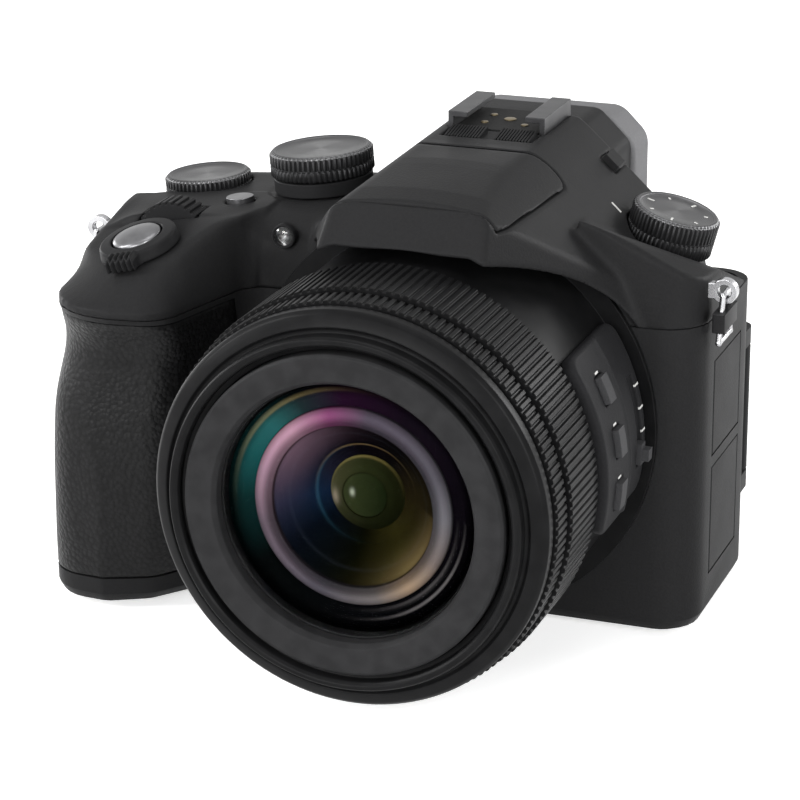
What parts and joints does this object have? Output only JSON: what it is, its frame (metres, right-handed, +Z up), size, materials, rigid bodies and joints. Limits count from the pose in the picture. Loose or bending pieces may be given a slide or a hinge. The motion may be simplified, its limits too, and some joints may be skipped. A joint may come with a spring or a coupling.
{
  "type": "bridge camera",
  "caption": "Bridge camera with a fixed zoom lens, two ribbed lens rings, deep hand grip, flash lid, accessory shoe, top dials and a side-swing monitor.",
  "frame": {"origin": "mouth of the tripod socket in the base, straight under the lens axis", "axes": "+Z up, -Y the way the lens looks, -X the hand-grip side"},
  "size_m": [0.1422, 0.1337, 0.0999],
  "materials": {
    "body_plastic": "fine textured black moulding",
    "grip_rubber": "pebbled leather-grain rubber",
    "eyecup_rubber": "soft matt rubber",
    "lens_metal": "black satin paint",
    "side_panel": "dark grey moulding",
    "button_grey": "grey moulding",
    "control_black": "satin black moulding",
    "dial_metal": "black anodised, spun top and knurled rim",
    "shutter_metal": "satin silver",
    "bare_steel": "bare steel",
    "shoe_metal": "dark grey coated sheet",
    "contact_gold": "plated contacts on a dark pad",
    "lens_glass": "coated glass",
    "screen_glass": "dark glossy screen",
    "flash_clear": "clear ribbed lens over the tube",
    "lamp_clear": "small clear lamp lens",
    "inner_black": "plain black moulding",
    "board_green": "circuit board"
  },
  "bodies": {
    "camera_body": {"front_cover": "body_plastic", "top_cover": "body_plastic", "rear_cover": "body_plastic", "base_cover": "body_plastic", "grip_rubber": "grip_rubber", "lens_barrel": "lens_metal", "front_bezel": "lens_metal", "name_ring": "lens_metal", "front_element": "lens_glass", "lens_panel": "side_panel", "guide_rods": "bare_steel", "iris_unit": "inner_black", "zoom_motor": "bare_steel", "image_sensor": "inner_black", "chassis": "bare_steel", "main_board": "board_green", "battery": "inner_black", "hot_shoe": "shoe_metal", "shoe_contacts": "contact_gold", "eyecup": "eyecup_rubber", "eyepiece_lens": "lens_glass", "af_lamp": "lamp_clear", "tripod_socket": "bare_steel", "strap_lugs": "bare_steel", "hinge_pins": "bare_steel", "case_screws": "bare_steel"},
    "zoom_ring": {"zoom_ring": "lens_metal"},
    "focus_ring": {"focus_ring": "lens_metal"},
    "mode_dial": {"mode_dial": "dial_metal"},
    "power_lever": {"power_lever": "control_black"},
    "rear_dial": {"rear_dial": "dial_metal"},
    "drive_dial": {"drive_dial": "dial_metal"},
    "front_dial": {"front_dial": "control_black"},
    "shutter_button": {"shutter_button": "shutter_metal"},
    "zoom_lever": {"zoom_lever": "control_black"},
    "movie_button": {"movie_button": "shutter_metal"},
    "flash_lid": {"flash_lid": "body_plastic", "flash_window": "flash_clear"},
    "flash_lever": {"flash_lever": "body_plastic"},
    "monitor": {"monitor_frame": "body_plastic", "monitor_screen": "screen_glass", "monitor_hinge": "bare_steel"},
    "diopter_dial": {"diopter_dial": "control_black"},
    "port_door_upper": {"port_door_upper": "body_plastic"},
    "port_door_lower": {"port_door_lower": "body_plastic"},
    "battery_door": {"battery_door": "body_plastic"},
    "strap_ring_right": {"strap_ring_right": "bare_steel"},
    "strap_ring_left": {"strap_ring_left": "bare_steel"},
    "fn_button_1": {"fn_button_1": "button_grey"},
    "fn_button_2": {"fn_button_2": "button_grey"},
    "fn_button_3": {"fn_button_3": "button_grey"},
    "nd_wheel": {"nd_wheel": "inner_black"},
    "nd_switch": {"nd_switch": "button_grey"},
    "control_ring": {"control_ring": "control_black"},
    "set_button": {"set_button": "control_black"},
    "play_button": {"play_button": "control_black"},
    "lock_button": {"lock_button": "control_black"},
    "zoom_carriage": {"zoom_carriage": "inner_black", "variator_lens": "lens_glass"},
    "zoom_screw": {"zoom_screw": "bare_steel"}
  },
  "joints": [
    {"name": "zoom_ring_turn", "type": "hinge", "parent": "camera_body", "child": "zoom_ring", "pos_m": [0, -0.0617, 0.044], "axis": [0, 1, 0], "continuous": true},
    {"name": "focus_ring_turn", "type": "hinge", "parent": "camera_body", "child": "focus_ring", "pos_m": [0, -0.0735, 0.044], "axis": [0, 1, 0], "continuous": true},
    {"name": "mode_dial_turn", "type": "hinge", "parent": "camera_body", "child": "mode_dial", "pos_m": [-0.0365, 0.002, 0.082], "axis": [-0.0872, 0, 0.9962], "continuous": true},
    {"name": "power_lever_turn", "type": "hinge", "parent": "camera_body", "child": "power_lever", "pos_m": [-0.0365, 0.002, 0.082], "axis": [-0.0872, 0, 0.9962], "range_deg": [0, 35]},
    {"name": "rear_dial_turn", "type": "hinge", "parent": "camera_body", "child": "rear_dial", "pos_m": [-0.0655, 0.007, 0.07946], "axis": [-0.0872, 0, 0.9962], "continuous": true},
    {"name": "drive_dial_turn", "type": "hinge", "parent": "camera_body", "child": "drive_dial", "pos_m": [0.0375, 0.008, 0.0776], "axis": [0.2588, 0, 0.9659], "continuous": true},
    {"name": "front_dial_turn", "type": "hinge", "parent": "camera_body", "child": "front_dial", "pos_m": [-0.062, -0.0175, 0.07457], "axis": [0, 1, 0], "continuous": true},
    {"name": "shutter_press", "type": "slide", "parent": "camera_body", "child": "shutter_button", "axis": [0.2192, 0.225, -0.9494], "range_m": [0, 0.0016], "stiffness_N_per_m": 400},
    {"name": "zoom_lever_turn", "type": "hinge", "parent": "camera_body", "child": "zoom_lever", "pos_m": [-0.0634, -0.0325, 0.0758], "axis": [-0.2192, -0.225, 0.9494], "range_deg": [-20, 20], "stiffness_Nm_per_rad": 0.02},
    {"name": "movie_press", "type": "slide", "parent": "camera_body", "child": "movie_button", "axis": [0.0872, 0, -0.9962], "range_m": [0, 0.0007], "stiffness_N_per_m": 400},
    {"name": "flash_lid_open", "type": "hinge", "parent": "camera_body", "child": "flash_lid", "pos_m": [0, -0.0095, 0.0933], "axis": [-1, 0, 0], "range_deg": [0, 40]},
    {"name": "flash_lever_slide", "type": "slide", "parent": "camera_body", "child": "flash_lever", "axis": [0, 1, 0], "range_m": [0, 0.002], "stiffness_N_per_m": 400},
    {"name": "monitor_swing", "type": "hinge", "parent": "camera_body", "child": "monitor", "pos_m": [0.047, 0.0292, 0.034], "axis": [0, 0, -1], "range_deg": [0, 180]},
    {"name": "diopter_turn", "type": "hinge", "parent": "camera_body", "child": "diopter_dial", "pos_m": [-0.02, 0.032, 0.078], "axis": [1, 0, 0], "range_deg": [-120, 120]},
    {"name": "port_door_upper_open", "type": "hinge", "parent": "camera_body", "child": "port_door_upper", "pos_m": [0.0507, -0.0062, 0.046], "axis": [0, 0, -1], "range_deg": [0, 95]},
    {"name": "port_door_lower_open", "type": "hinge", "parent": "camera_body", "child": "port_door_lower", "pos_m": [0.0507, -0.0062, 0.0215], "axis": [0, 0, -1], "range_deg": [0, 95]},
    {"name": "battery_door_open", "type": "hinge", "parent": "camera_body", "child": "battery_door", "pos_m": [-0.0572, -0.009, 0.0016], "axis": [0, -1, 0], "range_deg": [0, 95]},
    {"name": "strap_ring_right_swing", "type": "hinge", "parent": "camera_body", "child": "strap_ring_right", "pos_m": [0.0545, -0.012, 0.0724], "axis": [0, -1, 0], "range_deg": [0, 100]},
    {"name": "strap_ring_left_swing", "type": "hinge", "parent": "camera_body", "child": "strap_ring_left", "pos_m": [-0.0825, -0.012, 0.0724], "axis": [0, 1, 0], "range_deg": [0, 100]},
    {"name": "fn_1_press", "type": "slide", "parent": "camera_body", "child": "fn_button_1", "axis": [-0.9171, 0, -0.3987], "range_m": [0, 0.0006], "stiffness_N_per_m": 400},
    {"name": "fn_2_press", "type": "slide", "parent": "camera_body", "child": "fn_button_2", "axis": [-0.9877, 0, -0.1564], "range_m": [0, 0.0006], "stiffness_N_per_m": 400},
    {"name": "fn_3_press", "type": "slide", "parent": "camera_body", "child": "fn_button_3", "axis": [-0.9954, 0, 0.0958], "range_m": [0, 0.0006], "stiffness_N_per_m": 400},
    {"name": "nd_wheel_turn", "type": "hinge", "parent": "camera_body", "child": "nd_wheel", "pos_m": [-0.018, -0.0094, 0.044], "axis": [0, -1, 0], "range_deg": [0, 144]},
    {"name": "nd_switch_turn", "type": "hinge", "parent": "camera_body", "child": "nd_switch", "pos_m": [0, -0.0275, 0.044], "axis": [0, -1, 0], "range_deg": [0, 18]},
    {"name": "control_ring_turn", "type": "hinge", "parent": "camera_body", "child": "control_ring", "pos_m": [-0.053, 0.03, 0.03], "axis": [0, 1, 0], "continuous": true},
    {"name": "set_press", "type": "slide", "parent": "camera_body", "child": "set_button", "axis": [0, -1, 0], "range_m": [0, 0.0007], "stiffness_N_per_m": 400},
    {"name": "play_press", "type": "slide", "parent": "camera_body", "child": "play_button", "axis": [0, -1, 0], "range_m": [0, 0.0007], "stiffness_N_per_m": 400},
    {"name": "lock_press", "type": "slide", "parent": "camera_body", "child": "lock_button", "axis": [0, -1, 0], "range_m": [0, 0.0007], "stiffness_N_per_m": 400},
    {"name": "zoom_carriage_slide", "type": "slide", "parent": "camera_body", "child": "zoom_carriage", "axis": [0, 1, 0], "range_m": [0, 0.018]},
    {"name": "zoom_screw_turn", "type": "hinge", "parent": "camera_body", "child": "zoom_screw", "pos_m": [0, -0.044, 0.0145], "axis": [0, 1, 0], "continuous": true}
  ],
  "couplings": [
    {"joint": "nd_switch_turn", "follows": "nd_wheel_turn", "ratio": 0.1},
    {"joint": "zoom_screw_turn", "follows": "zoom_carriage_slide", "rad_per_m": 1047.2}
  ]
}
